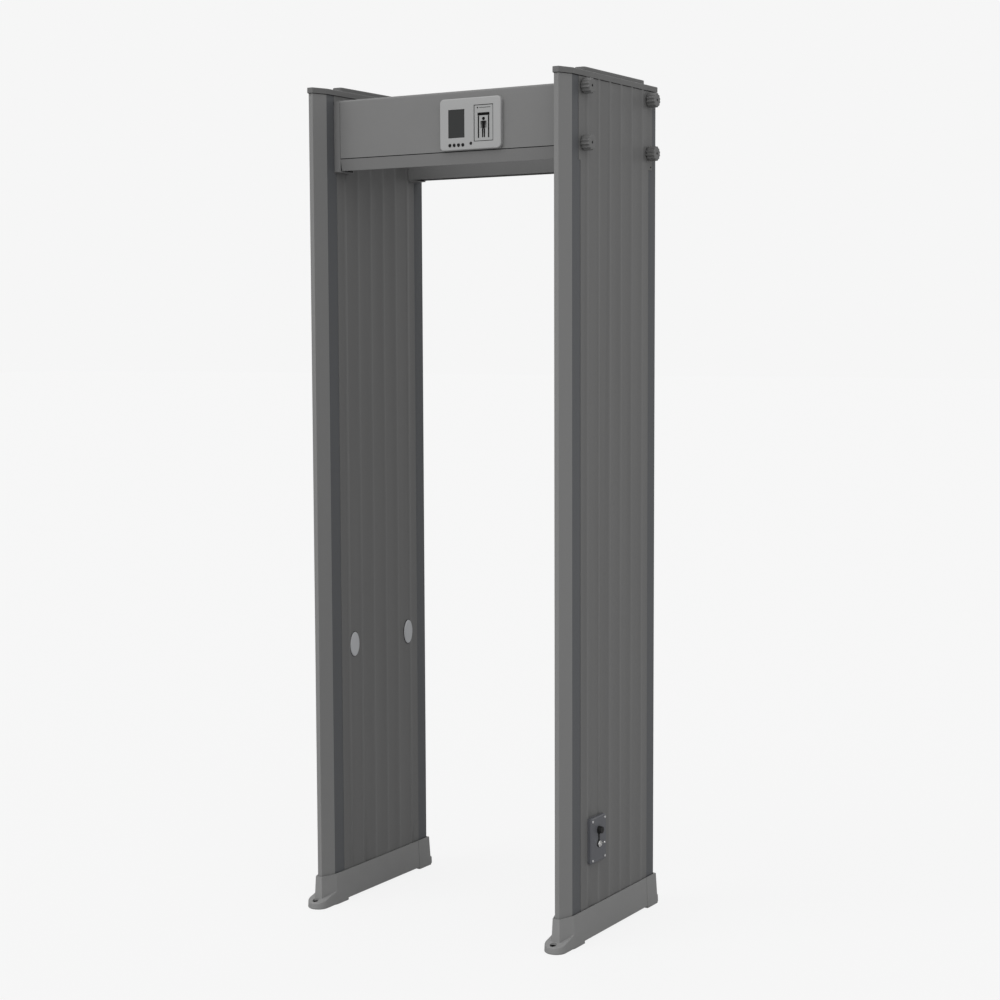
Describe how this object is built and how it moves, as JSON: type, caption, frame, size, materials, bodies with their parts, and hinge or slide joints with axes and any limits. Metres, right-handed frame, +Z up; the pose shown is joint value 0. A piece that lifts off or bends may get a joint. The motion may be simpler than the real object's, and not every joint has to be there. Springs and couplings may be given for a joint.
{
  "type": "walk-through metal detector",
  "caption": "Walk-through metal detector archway: ribbed side panels with tapered columns, clamped control unit and rear beam, capped tops and bolt-down shoes.",
  "frame": {"origin": "on the floor, in the middle of the passage, at the centre of the floor bolt pattern", "axes": "+Z up; +X from the left panel to the right panel; the display side faces -Y"},
  "size_m": [0.8528, 0.5676, 2.2382],
  "materials": {
    "column_grey": "satin moulded grey",
    "board_grey": "satin grey ribbed board",
    "post_dark": "dull dark grey",
    "shoe_grey": "satin moulded grey",
    "cap_grey": "satin moulded grey",
    "header_grey": "satin grey paint",
    "chassis_zinc": "zinc plated sheet",
    "knob_grey": "satin moulded grey",
    "bezel_light": "light grey moulding",
    "screen_glass": "dark glossy window",
    "zone_glass": "pale printed window",
    "button_black": "black moulded cap",
    "eye_dark": "dark infrared lens",
    "sensor_pale": "pale translucent window",
    "circuit_green": "solder-masked board",
    "coil_copper": "enamelled copper winding",
    "former_white": "plain white former",
    "bush_steel": "turned steel",
    "inlet_dark": "dark moulded plate",
    "socket_black": "black moulding",
    "strap_rubber": "soft black rubber",
    "switch_chrome": "plated metal",
    "screw_steel": "bright screw heads",
    "power_case": "perforated metal case",
    "buzzer_black": "black sounder"
  },
  "bodies": {
    "gate": {"left_front_post": "post_dark", "left_rear_post": "post_dark", "left_front_nose": "column_grey", "left_outer_board": "board_grey", "left_inner_board": "board_grey", "left_top_cap": "cap_grey", "left_base_shoe": "shoe_grey", "left_coil_frame": "former_white", "left_coil": "coil_copper", "left_front_sensor_window": "sensor_pale", "left_rear_sensor_window": "sensor_pale", "left_front_bracket": "header_grey", "left_rear_bracket": "header_grey", "right_front_post": "post_dark", "right_rear_post": "post_dark", "right_front_nose": "column_grey", "right_outer_board": "board_grey", "right_inner_board": "board_grey", "right_top_cap": "cap_grey", "right_base_shoe": "shoe_grey", "right_coil_frame": "former_white", "right_coil": "coil_copper", "right_front_sensor_window": "sensor_pale", "right_rear_sensor_window": "sensor_pale", "right_front_bracket": "header_grey", "right_rear_bracket": "header_grey", "control_cover": "header_grey", "control_chassis": "chassis_zinc", "rear_beam_cover": "header_grey", "rear_beam_plate": "header_grey", "display_bezel": "bezel_light", "display_screen": "screen_glass", "zone_window": "zone_glass", "infrared_eye": "eye_dark", "control_board": "circuit_green", "power_unit": "power_case", "buzzer": "buzzer_black", "inlet_plate": "inlet_dark", "inlet_screws": "screw_steel", "power_socket": "socket_black", "dust_cap": "strap_rubber", "toggle_switch": "switch_chrome", "toggle_nut": "switch_chrome", "clamp_bushes": "bush_steel", "sensor_boards": "circuit_green"},
    "knob_left_front_lower": {"left_front_lower_knob": "knob_grey"},
    "knob_left_front_upper": {"left_front_upper_knob": "knob_grey"},
    "knob_left_rear_lower": {"left_rear_lower_knob": "knob_grey"},
    "knob_left_rear_upper": {"left_rear_upper_knob": "knob_grey"},
    "knob_right_front_lower": {"right_front_lower_knob": "knob_grey"},
    "knob_right_front_upper": {"right_front_upper_knob": "knob_grey"},
    "knob_right_rear_lower": {"right_rear_lower_knob": "knob_grey"},
    "knob_right_rear_upper": {"right_rear_upper_knob": "knob_grey"},
    "push_button_1": {"button_1": "button_black"},
    "push_button_2": {"button_2": "button_black"},
    "push_button_3": {"button_3": "button_black"},
    "push_button_4": {"button_4": "button_black"},
    "switch_lever": {"toggle_lever": "switch_chrome"}
  },
  "joints": [
    {"name": "left_front_lower_knob_turn", "type": "hinge", "parent": "gate", "child": "knob_left_front_lower", "pos_m": [-0.41, -0.149, 2.047], "axis": [-1, 0, 0], "continuous": true},
    {"name": "left_front_upper_knob_turn", "type": "hinge", "parent": "gate", "child": "knob_left_front_upper", "pos_m": [-0.41, -0.149, 2.187], "axis": [-1, 0, 0], "continuous": true},
    {"name": "left_rear_lower_knob_turn", "type": "hinge", "parent": "gate", "child": "knob_left_rear_lower", "pos_m": [-0.41, 0.207, 2.047], "axis": [-1, 0, 0], "continuous": true},
    {"name": "left_rear_upper_knob_turn", "type": "hinge", "parent": "gate", "child": "knob_left_rear_upper", "pos_m": [-0.41, 0.207, 2.187], "axis": [-1, 0, 0], "continuous": true},
    {"name": "right_front_lower_knob_turn", "type": "hinge", "parent": "gate", "child": "knob_right_front_lower", "pos_m": [0.41, -0.149, 2.047], "axis": [1, 0, 0], "continuous": true},
    {"name": "right_front_upper_knob_turn", "type": "hinge", "parent": "gate", "child": "knob_right_front_upper", "pos_m": [0.41, -0.149, 2.187], "axis": [1, 0, 0], "continuous": true},
    {"name": "right_rear_lower_knob_turn", "type": "hinge", "parent": "gate", "child": "knob_right_rear_lower", "pos_m": [0.41, 0.207, 2.047], "axis": [1, 0, 0], "continuous": true},
    {"name": "right_rear_upper_knob_turn", "type": "hinge", "parent": "gate", "child": "knob_right_rear_upper", "pos_m": [0.41, 0.207, 2.187], "axis": [1, 0, 0], "continuous": true},
    {"name": "button_1_press", "type": "slide", "parent": "gate", "child": "push_button_1", "axis": [0, 1, 0], "range_m": [0, 0.0008], "stiffness_N_per_m": 600, "springref_m": -0.001},
    {"name": "button_2_press", "type": "slide", "parent": "gate", "child": "push_button_2", "axis": [0, 1, 0], "range_m": [0, 0.0008], "stiffness_N_per_m": 600, "springref_m": -0.001},
    {"name": "button_3_press", "type": "slide", "parent": "gate", "child": "push_button_3", "axis": [0, 1, 0], "range_m": [0, 0.0008], "stiffness_N_per_m": 600, "springref_m": -0.001},
    {"name": "button_4_press", "type": "slide", "parent": "gate", "child": "push_button_4", "axis": [0, 1, 0], "range_m": [0, 0.0008], "stiffness_N_per_m": 600, "springref_m": -0.001},
    {"name": "power_switch_throw", "type": "hinge", "parent": "gate", "child": "switch_lever", "pos_m": [0.413, -0.088, 0.248], "axis": [0, 1, 0], "range_deg": [0, 50]}
  ]
}
